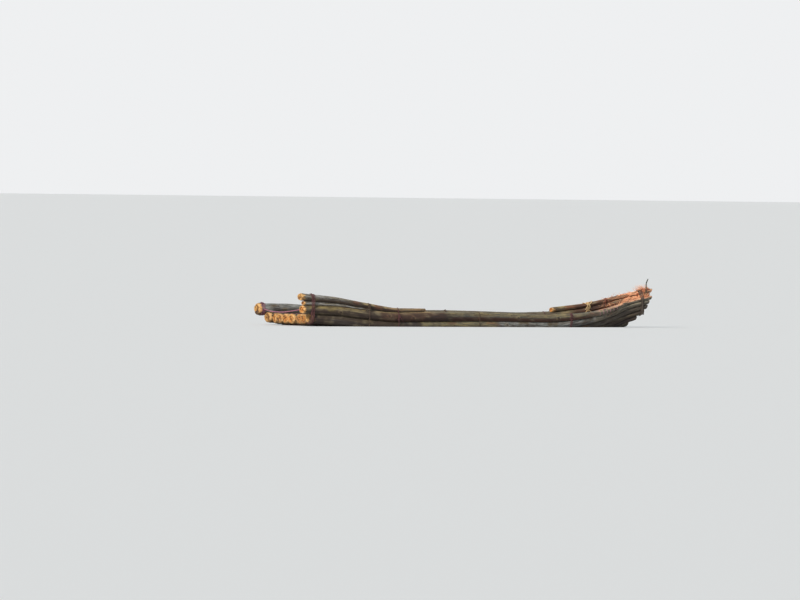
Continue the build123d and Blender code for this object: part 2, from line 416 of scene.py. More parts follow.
# Marks that show where a stem's colour differs, by stem and kind: from x,
# to x, middle angle and half angle in degrees, strength. 90 degrees is the top
# of a stem and 180 its starboard side. Most are the wood's own marks, but some
# are painted light: pale, moss and bare marks along the tops of some side stems
# are painted highlight, silver along the packing stem's top is a painted
# highlight line, and dark marks low on the starboard side stems are painted shade.
mark_kinds = ("pith", "bare_and_highlight", "moss", "grey", "silver", "dark", "pale", "fray", "rim")
stem_marks = {
    "gunwale_stem_starboard": {
        # The moss marks along this stem's top are golden and partly painted highlight.
        "moss": [(-1.26, -0.84, 120, 30, 0.7), (-1.12, -1.05, 150, 40, 1.0),
                 (-0.37, 0.62, 120, 42, 0.45)],
        # The dark marks low on this stem's starboard side, at 196 to 228 degrees, are painted
        # shade under it.
        "dark": [(-1.26, -0.86, 215, 35, 0.6), (-0.88, -0.25, 196, 58, 0.75),
                 (-0.45, -0.05, 225, 30, 0.5), (-0.36, 0.75, 185, 40, 0.3),
                 (-0.05, 0.80, 228, 24, 0.35), (0.75, 1.30, 210, 40, 0.2)],
        "bare_and_highlight": [(-0.76, -0.28, 190, 60, 0.6), (-0.25, 0.80, 222, 22, 0.8),
                 (0.76, 0.86, 175, 35, 0.6)],
        # The pale marks along its top, at 95 and 108 degrees, are painted highlight.
        "pale": [(-0.80, -0.35, 108, 38, 0.9), (-0.30, 0.72, 145, 30, 0.2),
                 (0.84, 1.02, 95, 45, 0.9), (0.55, 1.28, 180, 55, 0.35)],
        "grey": [(-0.40, 1.30, 180, 90, 0.85)], "silver": [(0.78, 1.28, 175, 60, 0.5)]},
    "floor_stem_starboard_4": {
        "silver": [(0.09, 0.85, 165, 60, 0.6), (-1.10, -0.90, 185, 50, 0.5),
                   (0.80, 1.30, 165, 60, 0.3)],
        # The dark mark from the stern to -0.45 is painted shade under the top stem.
        "dark": [(-1.32, -0.45, 200, 75, 1.0), (0.60, 1.30, 220, 50, 0.4)],
        "moss": [(-1.20, -0.60, 130, 35, 0.6), (-0.50, 0.10, 155, 55, 0.6)],
        "grey": [(-0.60, 0.80, 185, 70, 0.6), (0.60, 1.30, 180, 80, 0.7)],
        "pale": [(0.80, 1.26, 175, 60, 0.35)]},
    "floor_stem_starboard_3": {
        "dark": [(0.60, 1.30, 190, 80, 0.40)], "grey": [(0.60, 1.30, 180, 90, 0.6)],
        "silver": [(0.80, 1.30, 175, 60, 0.25)], "pale": [(0.75, 1.25, 180, 60, 0.30)]},
    "floor_stem_starboard_2": {
        "dark": [(0.60, 1.30, 200, 80, 0.55)], "grey": [(0.60, 1.30, 190, 90, 0.6)],
        "pale": [(0.75, 1.20, 185, 60, 0.25)]},
    "floor_stem_starboard_1": {
        "dark": [(0.60, 1.30, 200, 80, 0.60)], "grey": [(0.60, 1.30, 190, 90, 0.6)]},
    "gunwale_stem_port": {
        "silver": [(-1.28, -0.60, 150, 60, 0.7)], "grey": [(-1.30, -0.60, 180, 120, 0.6)],
        # The dark mark at 255 degrees darkens the foot of its butt.
        "dark": [(0.78, 1.12, 195, 60, 0.8), (-1.36, -1.20, 255, 42, 1.2),
                 (-1.20, -0.40, 230, 60, 0.7)],
        "pale": [(0.72, 0.85, 140, 70, 0.6)], "bare_and_highlight": [(0.80, 1.15, 170, 80, 1.0)]},
    "packing_stem": {
        # The silver along its top is a painted highlight line.
        "silver": [(-1.29, -0.86, 120, 75, 1.0)], "dark": [(-0.82, -0.70, 180, 180, 0.5)]},
    "quarter_stem": {
        # The pale mark along its top and the bare mark from -0.72 to -0.42 give it a golden
        # painted highlight.
        "bare_and_highlight": [(-0.945, -0.883, 150, 45, 1.0), (-0.800, -0.720, 160, 50, 1.0),
                 (-0.72, -0.42, 140, 70, 0.4)],
        "silver": [(-1.29, -0.95, 130, 50, 0.8)], "moss": [(-1.10, -0.95, 125, 25, 0.3)],
        "dark": [(-1.28, -0.60, 212, 35, 0.6)], "pale": [(-0.88, -0.42, 115, 55, 1.0)]},
    "bow_rail_stem": {
        "dark": [(0.58, 0.70, 90, 180, 0.3), (0.80, 1.14, 205, 60, 0.7)],
        # The pale mark along its top is a painted highlight.
        "pale": [(0.70, 0.82, 110, 60, 0.8)], "moss": [(0.68, 1.02, 100, 40, 0.7)],
        "bare_and_highlight": [(0.74, 1.16, 175, 70, 1.0)]},
}
# Knots with a pale ring of healed bark, at an x and an angle in degrees.
healed_knots = {
    "gunwale_stem_starboard": [(-1.025, 190), (-0.692, 172), (-0.640, 166),
                               (-0.525, 190), (0.24, 182), (0.53, 178)],
    "floor_stem_starboard_4": [(0.162, 163), (0.93, 160)],
    "gunwale_stem_port": [(-0.55, 160), (0.35, 150), (-0.20, 20), (0.10, 350)],
}

# The stems that lie against each other, outwards from the keel stem on each
# side, and across from side to side where they meet at the bow.
chains = {side: ["keel_stem"] + [f"floor_stem_{side}_{k}" for k in (1, 2, 3, 4)]
          + ["gunwale_stem_" + side] for side in ("starboard", "port")}
pairs = [pair for chain in chains.values() for pair in zip(chain, chain[1:])]
pairs += list(zip(chains["starboard"][1:], chains["port"][1:]))
pairs += [("gunwale_stem_starboard", "packing_stem"), ("packing_stem", "quarter_stem"),
          ("gunwale_stem_port", "bow_rail_stem")]
widest_gap = 0.010              # a wider gap between two stems stays open


def bark_to_neighbours(node, along, angle, bark_radius):
    """How much the bark fills out towards the stems beside it: to the middle of
    the gap, as a bell curve round the line between the two middles."""
    y, z, radius = disc(node, along)
    grown = 0 * bark_radius
    for pair in pairs:
        if node not in pair:
            continue
        other = pair[0] if pair[1] == node else pair[1]
        beside = line_of(other)
        other_y, other_z, other_radius = disc(other, along)
        gap = np.hypot(other_y - y, other_z - z) - radius - other_radius
        wanted = np.clip(radius + gap / 2 + 0.0002 - bark_radius, 0, widest_gap / 2)
        wanted = (wanted * window(along, beside.butt, beside.tip, 0.01)
                  * np.clip((widest_gap - gap) / 0.002, 0, 1))
        apart = angle_from(angle, np.arctan2(other_z - z, other_y - y))
        grown = np.maximum(grown, wanted * np.exp(-(apart / 0.45) ** 2))
    return grown


def cut_rows(angle, core, rim, edge):
    """Depth forward of the cut and radius of the rows over the pith: out across
    the face, round the worn rim in a quarter circle, and forward to the edge of
    the bark."""
    rows = [(0 * angle, share * (core - rim) + 0 * angle)
            for share in (0.10, 0.22, 0.34, 0.46, 0.58, 0.70, 0.82, 0.92)]
    rows += [(rim * (1 - cos(turn * pi / 2)) + 0 * angle,
              core - rim + rim * sin(turn * pi / 2) + 0 * angle)
             for turn in (0.05, 0.3, 0.6, 0.85, 1.0)]
    rows += [(rim + (edge - rim) * share, core + 0 * angle) for share in (0.3, 0.6, 0.9, 1.0)]
    return np.array(rows)


knot_long, knot_wide, knot_high, knot_pit = 0.009, 0.007, 0.0022, 0.0020


def add_knots(node, draw, along, angle, whole, bark_radius, marks):
    """Adds a stem's knots to its marks, and gives its bark radius with them. A
    knot is a bump with a pit, as a bell curve less another of half its width,
    and the bark is dark there. A healed one has a ring of pale bark."""
    line = line_of(node)
    spots = [(draw.uniform(line.butt + 0.1, line.tip - 0.1), draw.uniform(0, 2 * pi),
              draw.uniform(0.5, 1.0)) for _ in range(int((line.tip - line.butt) * 3))]
    spots += [(x, radians(turn), 1.5) for x, turn in healed_knots.get(node, ())]
    for x, turn, strength in spots:
        arc = angle_from(angle, turn) * whole
        lean = 1 + 0.25 * np.sin(3 * np.arctan2(arc, along - x) + 90 * x)
        off = np.hypot((along - x) / knot_long, arc / knot_wide) * lean
        bark_radius = bark_radius + strength * (knot_high * np.exp(-off ** 2)
                                                - knot_pit * np.exp(-(2 * off) ** 2))
        marks["dark"] = marks["dark"] + 1.2 * strength * np.exp(-(1.3 * off) ** 2)
        if strength > 1:
            ring = np.exp(-((off - 1.25) / 0.45) ** 2)
            marks["pale"] = marks["pale"] + 0.45 * ring
            marks["dark"] = marks["dark"] - 0.6 * ring
    return bark_radius


def add_marks(node, seed, along, angle, torn, tone, marks):
    """Adds a stem's listed marks, its small bare patches, its torn bark and its
    tone to its marks. Blots of smooth noise break up each of them."""
    blot = ripple(seed + 5, along, angle, (1, 4), (0.05, 0.3), 9)
    for kind, places in stem_marks.get(node, {}).items():
        for low, high, middle, half, strength in places:
            reach = window(along, low, high, 0.025) * near_angle(angle, middle, half)
            marks[kind] = marks[kind] + strength * reach * np.clip(1.1 + 0.7 * blot, 0, 1.2)
    patches = ripple(seed + 6, along, angle, (1, 3), (0.12, 0.5), 8)
    marks["bare_and_highlight"] = np.maximum(marks["bare_and_highlight"], np.clip(4 * (patches - 1.45), 0, 0.45))
    if torn:
        low, high, middle, half = torn
        marks["fray"] = (np.clip(1.25 * (along - low) / (high - low), 0, 1)
                         * near_angle(angle, middle, half, 0.4)
                         * np.clip(0.85 + 0.7 * blot, 0, 1))
    for kind, amount in tone.items():
        marks[kind] = marks[kind] + amount * np.clip(0.9 + 0.35 * blot, 0, 1.3)


row_gap = 0.0075                # between the rows along the bark, at its middle
bark_lip = 0.0008               # between the pith's last row and the bark's first
lump_share, ridge_high, wrinkle_high = 0.012, 0.0005, 0.0003
bare_deep = 0.0007              # how far the bark is worn off where it is bare
face_rough, face_hollow = 0.0016, 0.0035        # how uneven and how sunk a cut face is
slant_long = 0.15               # a butt's slant dies out over this length
tip_rake, rake_long = 0.42, 0.07        # how far a bow tip's underside is cut back
closing_shares = (0.8, 0.5, 0.2)


def with_closing(rows):
    """Rows with the last one repeated for those that close the tip."""
    return np.concatenate([rows, np.repeat(rows[-1:], len(closing_shares), axis=0)])


def stem_grid(node, seed, bark_gap, swell, torn, tone):
    """A stem as one closed surface of rows from the middle of its cut face, out
    over a worn rim and the pith, up on to the ragged edge of the bark, and
    along to the tip. swell closes the room left for straps, and torn gives
    from and to what x the bark frays at the bow, on what side and how far."""
    line = line_of(node)
    draw = np.random.default_rng(seed)
    angle = np.linspace(0, 2 * pi, around_stem, endpoint=False)
    core = disc(node, line.butt)[2] - bark_thick + swell * 0.5
    rim = core * draw.uniform(0.20, 0.32)
    splits = np.clip(0.55 + 0.40 * ripple(seed + 1, 0, angle, (1, 3))
                     + 0.45 * ripple(seed + 10, 0, angle, (6, 14)), 0.02, 1.5)
    edge = bark_gap * splits + rim + 0.002
    cut = cut_rows(angle, core, rim, edge)
    length = line.tip - line.butt
    steps = np.linspace(0, 1, max(int(length / row_gap), 40))[:, None] ** 1.12
    depth = np.concatenate([cut[:, 0], edge + bark_lip + (length - edge - bark_lip) * steps])
    set_radius = np.concatenate([cut[:, 1], core + 0 * steps + 0 * angle])
    pith = np.repeat([1.0, 0.0], [len(cut), len(steps)])[:, None] + 0 * angle
    along = line.butt + depth
    whole = disc(node, along)[2] + swell
    lump = ripple(seed + 2, along, angle, (0, 3), (0.09, 0.5))
    ridge = ripple(seed + 3, along, angle, (5, 13), (0.5, 2.5), 9)
    wrinkle = ripple(seed + 4, along, angle, (2, 9), (0.02, 0.09), 9)
    bark_radius = (whole * (1 + lump_share * lump) + ridge_high * ridge
                   + wrinkle_high * wrinkle - 0.0004)
    marks = {kind: np.zeros(depth.shape) for kind in mark_kinds}
    bark_radius = add_knots(node, draw, along, angle, whole, bark_radius, marks)
    add_marks(node, seed, along, angle, torn, tone, marks)
    bark_radius = bark_radius - bare_deep * np.clip(marks["bare_and_highlight"], 0, 1)
    # The rim mark pales the pith towards the edge of each cut face: a painted highlight on
    # the butts' lit edges.
    marks["rim"] = pith * np.clip((set_radius / core - 0.62) / 0.3, 0, 1) * (
        0.75 + 0.35 * ripple(seed + 9, 0, angle, (1, 7)))
    bark_radius = bark_radius + bark_to_neighbours(node, along, angle, bark_radius)
    tip_share = np.clip((line.tip - along) / 0.03, 0, 1)
    bark_radius = bark_radius * (0.90 + 0.10 * tip_share ** 0.6)
    rough_face = ripple(seed + 7, set_radius * 30, angle, (0, 8), (0.2, 0.9), 9)
    chips = ripple(seed + 8, 0, angle, (2, 7))
    radius = np.where(pith == 0, bark_radius, set_radius * (
        1 - 0.06 * np.clip(chips, 0, 1.5) * np.clip(1 - depth / edge, 0, 1)))
    face = pith * np.clip(1 - depth / rim, 0, 1)
    hollow = face_hollow * np.clip(1 - (radius / core / 0.7) ** 2, 0, 1)
    along = along + face * (face_rough * rough_face + hollow + face_rough)
    along = along + line.slope * radius * np.cos(angle) * np.clip(
        1 - depth / slant_long, 0, 1)
    if line.tip > 1:
        along = along - tip_rake * radius * (1 - np.sin(angle)) * np.clip(
            1 - (line.tip - along) / rake_long, 0, 1)
    along = np.minimum(along, line.tip - 0.0005)
    y, z, _ = disc(node, along)
    points = np.stack([along, y + radius * np.cos(angle), z + radius * np.sin(angle)], axis=2)
    end = points[-1]
    middle = end.mean(axis=0)
    points = np.concatenate([points, [middle + (end - middle) * share + (0.0004, 0, 0)
                                      for share in closing_shares]])
    marks = {kind: np.clip(value, 0, 1) for kind, value in marks.items()}
    marks["pith"] = pith + np.clip((along - line.tip + 0.006) / 0.004, 0, 1)
    grain = np.stack([along + 3.7 * seed, radius * np.cos(angle), radius * np.sin(angle)],
                     axis=2)
    marks = {key: with_closing(values) for key, values in {"grain": grain, **marks}.items()}
    return {"points": points, "loop": False, "marks": marks}


def stem_finish():
    """Ridged bark from olive to brown, with lichen, bare patches, knots and the
    corky pith of the cut ends. Its marks also paint highlights along the tops
    of some stems, shade low on their sides and a highlight on the edges of the
    cut faces. It is dark and smooth where it is wet, and the pith is darker
    towards the water, wet and in painted shade."""
    finish = Finish("stem_bark_and_pith")
    grain = finish.mark("grain", "Vector")
    fibre = finish.noise(grain, (16, 330, 330), 4.0, 0.6)
    fine = finish.noise(grain, (60, 1100, 1100), 2.0)
    blotch = finish.noise(grain, (6, 38, 38), 3.0)
    streak = finish.noise(grain, (3, 110, 110), 2.0)
    flecks = finish.noise(grain, (55, 170, 170), 2.0)
    colour = finish.mix(blotch.between(0.36, 0.64), (0.112, 0.080, 0.053),
                        (0.218, 0.174, 0.110))
    # The pale, silver, moss and bare coats are partly painted highlight where their marks lie
    # along the tops of stems.
    for share, coat in (
            (streak.between(0.47, 0.62) * 0.8, (0.050, 0.037, 0.029)),
            (finish.mark("grey") * blotch.between(0.25, 0.6), (0.104, 0.113, 0.106)),
            (finish.mark("silver") * fibre.between(0.38, 0.62), (0.38, 0.37, 0.345)),
            (finish.mark("pale") * fibre.between(0.3, 0.6), (0.44, 0.335, 0.170)),
            (finish.mark("moss") * fibre.between(0.35, 0.62), (0.36, 0.275, 0.105)),
            (finish.mark("bare_and_highlight") * fibre.between(0.3, 0.5), (0.20, 0.085, 0.048)),
            (flecks.between(0.60, 0.70) * 0.7, (0.055, 0.034, 0.026))):
        colour = finish.mix(share, colour, coat)
    colour = finish.dim(colour, fibre * 1.8 + fine * 0.5 - 0.10)
    torn = finish.mix(flecks.between(0.50, 0.63), (1.0, 0.55, 0.31), (0.34, 0.080, 0.042))
    torn = finish.dim(torn, fibre * 1.2 + fine * 0.6 + 0.40)
    colour = finish.mix(finish.mark("fray") * fibre.between(0.24, 0.42), colour, torn)
    cells = finish.noise(grain, (90, 260, 260), 5.0, 0.65)
    ripe = finish.noise(grain, (0.9, 4, 4), 0.0)
    dirt = finish.noise(grain, (20, 75, 75), 3.0)
    pith_colour = finish.mix(ripe.between(0.42, 0.58), (0.70, 0.385, 0.130),
                             (0.80, 0.335, 0.085))
    pith_colour = finish.mix(cells.between(0.36, 0.60), finish.dim(pith_colour, 0.48),
                             pith_colour)
    pith_colour = finish.mix(dirt.between(0.46, 0.58) * 0.9, pith_colour,
                             (0.17, 0.075, 0.030))
    # Painted highlight: the pith turns pale towards the rim of each cut face.
    pith_colour = finish.mix(finish.mark("rim") * cells.between(0.25, 0.5), pith_colour,
                             (0.84, 0.51, 0.215))
    pith = finish.mark("pith").between(0.3, 0.7)
    colour = finish.mix(pith, colour, pith_colour)
    # The dark coat is the bark's own dark patches and knots, and also painted shade low on
    # the starboard side stems.
    colour = finish.mix(finish.mark("dark") * 0.85, colour, (0.044, 0.030, 0.027))
    place = finish.node("ShaderNodeTexCoord", {}, "Object")
    height_up = finish.node("ShaderNodeSeparateXYZ", {0: place}, "Z")
    wet = 1.0 - (height_up + blotch * 0.02).between(0.092, 0.126)
    # The pith is darker towards the water: partly a wet stain, partly painted shade under the
    # butts.
    wet_and_shaded_pith = (1.0 - (height_up + dirt * 0.03).between(0.110, 0.136)) * pith
    colour = finish.dim(colour, 1.0 - wet * 0.45 - wet_and_shaded_pith * 0.5)
    return finish.done(colour, 0.86 - wet * 0.20 - fine * 0.08,
                       fibre * 0.7 + fine * 0.3 + cells * pith, 0.0022,
                       Specular_IOR_Level=0.3)


stem_material = stem_finish()
tight, roomy = 0.0003, 0.0015   # how far bark fills out over the bare CAD stem
long_stems = [          # node, seed, bark splits back by, swell, torn bark, tone
    ("keel_stem", 11, 0.016, tight, None, {"grey": 0.3}),
    ("floor_stem_starboard_1", 12, 0.026, tight, None, {"dark": 0.3}),
    ("floor_stem_port_1", 13, 0.014, tight, None, {"grey": 0.2}),
    ("floor_stem_starboard_2", 14, 0.032, tight, None, {"moss": 0.15, "dark": 0.3}),
    ("floor_stem_port_2", 15, 0.020, tight, None, {"dark": 0.2}),
    ("floor_stem_starboard_3", 16, 0.018, roomy, None, {"grey": 0.4, "dark": 0.35}),
    ("floor_stem_port_3", 17, 0.026, roomy, (0.9, 1.1, 110, 60), {"grey": 0.2}),
    ("floor_stem_starboard_4", 18, 0.012, roomy, None, {"grey": 0.2}),
    ("floor_stem_port_4", 19, 0.022, roomy, (0.85, 1.1, 130, 70), {"dark": 0.2}),
    ("gunwale_stem_starboard", 20, 0.014, tight, (0.92, 1.15, 92, 62), {}),
    ("gunwale_stem_port", 21, 0.012, roomy, (0.95, 1.20, 140, 80), {"grey": 0.2}),
]
for node, *looks in long_stems:
    piece(node + "_bark", [stem_grid(node, *looks)], stem_material, [node])

# Three short stems of the same wood fill out the sides: a thin packing stem and
# the quarter stem that raise the starboard side at the stern, and the rail
# stem on the port side of the bow.
short_stems = [
    ("packing_stem", 31, 0.008, tight, None, {"silver": 0.3}),
    ("quarter_stem", 32, 0.016, tight, None, {"grey": 0.2}),
    ("bow_rail_stem", 33, 0.018, tight, (0.97, 1.20, 120, 110), {"pale": 0.1}),
]

# The packing stem's thin end is squashed flat into the wedge between its two
# neighbours: its middle lies halfway between their sides, and its radius is
# half the room there.
wedge_long = 0.235              # how far the squashed end runs on past the CAD's tip
packing = line_of("packing_stem")
kept = packing.x < packing.tip - 0.02
wedge_x = np.arange(packing.x[kept][-1] + smooth_step, packing.tip + wedge_long, smooth_step)
below_y, below_z, below_radius = disc("gunwale_stem_starboard", wedge_x)
above_y, above_z, above_radius = disc("quarter_stem", wedge_x)
apart = np.hypot(above_y - below_y, above_z - below_z)
wedge = np.maximum(apart - below_radius - above_radius, 0.003) / 2
share = (below_radius + wedge) / apart
squashed = (wedge_x, below_y + (above_y - below_y) * share,
            below_z + (above_z - below_z) * share, wedge)
lines["packing_stem"] = StemLine(
    *(np.concatenate([values[kept], tail]) for values, tail in zip(packing, squashed)),
    packing.butt, wedge_x[-1], packing.slope)
for node, *looks in short_stems:
    piece(node + "_bark", [stem_grid(node, *looks)], stem_material, [node])

# The lashings are strips of inner bark, soaked, drawn tight round the stems in
# one to three turns and tied off in a flat knot with two short ends.
strap_off = 0.0015              # the middle of a strap is this far off the stems
strap_wide, strap_pitch = 0.007, 0.0086         # of the CAD's turns
strap_across, strap_thick = 0.0054, 0.0027      # of the strips that replace them


def taut_loop(around, x, away, spacing=0.004, count=None):
    """Points of a loop drawn tight round the stems' discs at x, and the way out
    at each. In every direction the farthest disc holds the loop."""
    discs = np.array([disc(name, x) for name in around])
    turn = np.linspace(0, 2 * pi, 900)
    reach = discs[:, :1] * np.cos(turn) + discs[:, 1:2] * np.sin(turn) + discs[:, 2:]
    held = discs[reach.argmax(axis=0)]
    out = np.stack([0 * turn, np.cos(turn), np.sin(turn)], axis=1)
    path = np.stack([0 * turn + x, held[:, 0], held[:, 1]], axis=1) + out * (
        held[:, 2:] + away)
    run = run_along(path)
    wanted = np.linspace(0, run[-1], count or int(run[-1] / spacing), endpoint=False)
    return read_off(wanted, run, path), read_off(wanted, run, out)


def strap_grid(around, x, seed, lean=0.0, lift=0.0):
    """One turn of strap. Its width, its thickness and its place along the stems
    waver, and here and there it is half twisted. A crossed turn leans: its top
    and its underside lie that far apart along the stems."""
    path, out = taut_loop(around, x, strap_off + lift)
    if lean:
        low, high = (taut_loop(around, x + shift, strap_off + lift, count=len(path))[0]
                     for shift in (-lean / 2, lean / 2))
        share = (0.5 + 0.5 * out[:, 2])[:, None]
        path = low * (1 - share) + high * share
    run = np.arange(len(path)) * 2 * pi / len(path)
    waver = [ripple(seed + k, 0, run, (2, 14)) for k in range(4)]
    path = path + np.stack([0.0009 * waver[0], 0 * run, 0 * run], axis=1)
    twist = 0.5 * np.clip(waver[3], -1, 1)[:, None]
    out = out * np.cos(twist) + np.array([1.0, 0, 0]) * np.sin(twist)
    cell = np.linspace(0, 2 * pi, 14, endpoint=False)
    groove = 1 - 0.13 * np.cos(5 * cell + 2 * waver[0][:, None])
    wide = strap_across + 0.0010 * waver[1][:, None] + 0 * cell
    thick = (strap_thick + 0.0003 * waver[2][:, None]) * groove
    turn = tube(path, out, wide, thick, len(cell), loop=True, sharp=0.8)
    turn["points"][..., 2] = np.maximum(turn["points"][..., 2], 0.0002)     # on the ground
    return turn


def knot_grids(around, x, turn, seed, size=0.0065):
    """A knot on the outside of a lashing, at a turn from port over the top. Its
    body is a trefoil loop pressed flat, and two ends hang from it."""
    path, out = taut_loop(around, x, strap_off + 0.0022, 0.002)
    at = (out @ np.array([0, cos(turn), sin(turn)])).argmax()
    middle, normal = path[at], out[at]
    along = np.array([1.0, 0, 0])
    down = np.cross(normal, along)
    down = down if down[2] < 0 else -down
    t = np.linspace(0, 2 * pi, 60, endpoint=False)[:, None]
    loop = (middle + size * 0.42 * ((np.sin(t) + 2 * np.sin(2 * t)) * along
                                    + (np.cos(t) - 2 * np.cos(2 * t)) * down)
            - size * 0.35 * np.sin(3 * t) * normal)
    grids = [tube(loop, normal + 0.3 * along + 0 * t, 0.0042, 0.0026, 10, loop=True)]
    draw = np.random.default_rng(seed)
    for way in (-1, 1):
        length = draw.uniform(0.022, 0.040)
        lean = way * draw.uniform(0.25, 0.9)
        s = np.linspace(0, 1, 14)[:, None]
        end = (middle + normal * 0.0012 + (down + along * lean) * length * s
               + normal * 0.003 * np.sin(s * draw.uniform(2, 4))
               - normal * 0.012 * s ** 2)
        grids.append(tube(end, normal + 0 * s, 0.0042 - 0.0016 * s, 0.0017 - 0.0006 * s, 10))
    return grids


def strap_finish(name, light, dark, stain):
    """Fibrous bark strip: long fibres, darker between them, stained in places."""
    finish = Finish(name + "_bark_strap")
    grain = finish.mark("grain", "Vector")
    fibre = finish.noise(grain, (45, 1300, 1300), 3.0, 0.6)
    blotch = finish.noise(grain, (22, 70, 70), 2.0)
    colour = finish.mix(fibre.between(0.3, 0.7), dark, light)
    colour = finish.mix(blotch.between(0.45, 0.72), colour, stain)
    colour = finish.dim(colour, fibre * 0.6 + 0.7)
    return finish.done(colour, 0.78, fibre, 0.0008)


straps = {name: strap_finish(name, *colours) for name, *colours in (
    ("maroon", (0.18, 0.065, 0.065), (0.052, 0.016, 0.020), (0.09, 0.030, 0.032)),
    ("brown", (0.130, 0.085, 0.052), (0.052, 0.032, 0.023), (0.080, 0.045, 0.030)),
    ("straw", (0.98, 0.76, 0.42), (0.58, 0.36, 0.15), (0.74, 0.45, 0.20)),
    ("purple", (0.36, 0.145, 0.190), (0.090, 0.030, 0.045), (0.14, 0.045, 0.060)),
    ("grey", (0.125, 0.100, 0.080), (0.052, 0.038, 0.031), (0.080, 0.055, 0.042)),
    ("reddish", (0.40, 0.145, 0.085), (0.16, 0.050, 0.032), (0.26, 0.085, 0.055)))}
floor_all = chains["starboard"][3:0:-1] + chains["port"][:4]
starboard_side, port_side = chains["starboard"][3:], chains["port"][3:]
port_rail = ["gunwale_stem_port", "bow_rail_stem"]
bow_bundle = [row[0] for row in long_stems[3:]] + ["bow_rail_stem"]
lashings = [            # node, stems inside, strap, where its knot is in degrees
    ("floor_lashing_stern", floor_all, "maroon", 100),
    ("floor_lashing_aft", floor_all, "brown", 80),
    ("floor_lashing_mid", floor_all, "brown", 95),
    ("floor_lashing_fore", floor_all[1:-1], "maroon", 85),
    ("starboard_lashing_stern", starboard_side[1:] + ["packing_stem", "quarter_stem"],
     "maroon", 60),
    ("starboard_lashing_quarter", starboard_side + ["quarter_stem"], "brown", 165),
    ("starboard_lashing_aft", starboard_side + ["quarter_stem"], "maroon", 170),
    ("starboard_lashing_mid", starboard_side, "brown", 60),
    ("starboard_lashing_fore", starboard_side, "maroon", 135),
    ("port_lashing_stern", port_side[2:], "purple", 100),
    ("port_lashing_quarter", port_side, "brown", 30),
    ("port_lashing_aft", port_side, "maroon", 40),
    ("port_lashing_mid", port_side, "brown", 120),
    ("port_lashing_fore", port_side, "maroon", 30),
    ("rail_lashing_aft", port_rail, "straw", 150),
    ("rail_lashing_fore", port_rail, "reddish", 140),
    ("bow_lashing", bow_bundle, "grey", 100),
]
crossed = {"rail_lashing_aft": 0.052, "bow_lashing": 0.030}     # how far these turns lean
for k, (node, around, strap, knot) in enumerate(lashings):
    low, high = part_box(node)
    turns = int(round((high[0] - low[0] - strap_wide) / strap_pitch)) + 1
    first = low[0] + strap_wide / 2
    middle = first + strap_pitch * (turns - 1) / 2
    grids = [strap_grid(around, first + strap_pitch * turn, 100 + 10 * k + turn)
             for turn in range(turns)]
    if node in crossed:
        grids += [strap_grid(around, middle, 500 + k + way, way * crossed[node],
                             0.0024 + 0.0008 * way) for way in (-1, 1)]
    grids += knot_grids(around, middle, radians(knot), 300 + k)
    piece(node + "_strap", grids, straps[strap], [node])

# A thin faded pink cord is whipped round the top stem of the starboard side
# where it starts to rise to the bow, and its ends are tucked under.
whipping_x, whipping_lead, whipping_turns = 0.845, 0.029, 6
turn_points = 60
loops = [taut_loop(["gunwale_stem_starboard"], whipping_x + whipping_lead * k, 0.0009,
                   count=turn_points) for k in range(whipping_turns + 1)]
blend = np.linspace(0, 1, turn_points, endpoint=False)[:, None]
whipping, whipping_out = (np.concatenate([
    first[k] * (1 - blend) + second[k] * blend for first, second in zip(loops, loops[1:])])
    for k in (0, 1))
piece("bow_whipping", [tube(whipping, whipping_out, 0.0034, 0.0024, 8, sharp=1.0)],
      cord_finish("pale_pink_cord", (0.68, 0.43, 0.42), (0.38, 0.18, 0.19),
                  (0.16, 0.08, 0.07)))

# Torn bark stands up in orange fibres along the tops of the highest stems at
# the bow, where it was stripped to gather the tips.
torn_places = [         # stem, fibres, from x, to x, middle and half angle, seed, size, lift
    ("bow_rail_stem", 90, 0.98, 1.290, 100, 80, 71, 0.85, (0.15, 0.85)),
    ("bow_rail_stem", 170, 1.20, 1.294, 92, 60, 75, 0.8, (0.7, 1.4)),
    ("gunwale_stem_port", 90, 0.95, 1.275, 130, 70, 72, 0.85, (0.15, 0.85)),
    ("gunwale_stem_port", 70, 1.20, 1.282, 105, 60, 76, 0.8, (0.5, 1.2)),
    ("gunwale_stem_starboard", 110, 1.00, 1.275, 85, 55, 73, 0.85, (0.15, 0.85)),
    ("gunwale_stem_starboard", 50, 1.17, 1.278, 95, 40, 77, 0.8, (0.4, 1.0)),
    ("floor_stem_port_4", 40, 1.00, 1.260, 140, 60, 74, 1.0, (0.15, 0.85)),
]
all_aft = 1.23                  # forward of this x every fibre points aft
probe = 0.02                    # over this length a stem's direction is taken


def torn_fibres(node, count, low, high, middle, half, seed, size, lift):
    """Thin strips that lie along a stem and lift off it towards their ends. A
    strip rises with the square of the distance from its root."""
    draw = np.random.default_rng(seed)
    grids = []
    share = np.linspace(0, 1, 8)[:, None]
    for _ in range(count):
        x = low + (high - low) * draw.random() ** 0.7
        turn = radians(middle + half * draw.uniform(-1, 1))
        way = draw.choice((-1, 1)) if x < all_aft else -1
        y, z, radius = disc(node, x)
        out = np.array([0.0, cos(turn), sin(turn)])
        root = np.array([x, y, z]) + out * (radius + 0.0002)
        ahead_y, ahead_z, _ = disc(node, x + probe * way)
        run = np.array([probe * way, ahead_y - y, ahead_z - z]) / probe
        side = np.cross(out, run)
        length = draw.uniform(0.018, 0.045) * size
        line = (root + run * length * share + out * draw.uniform(*lift) * length * share ** 2
                + side * draw.uniform(-0.35, 0.35) * length * share ** 2)
        wide = draw.uniform(0.0018, 0.0042) * size * (1 - 0.7 * share)
        thick = draw.uniform(0.0006, 0.0011) * (1 - 0.5 * share)
        grids.append(tube(line, out + 0 * share, wide, thick, 6))
    return grids


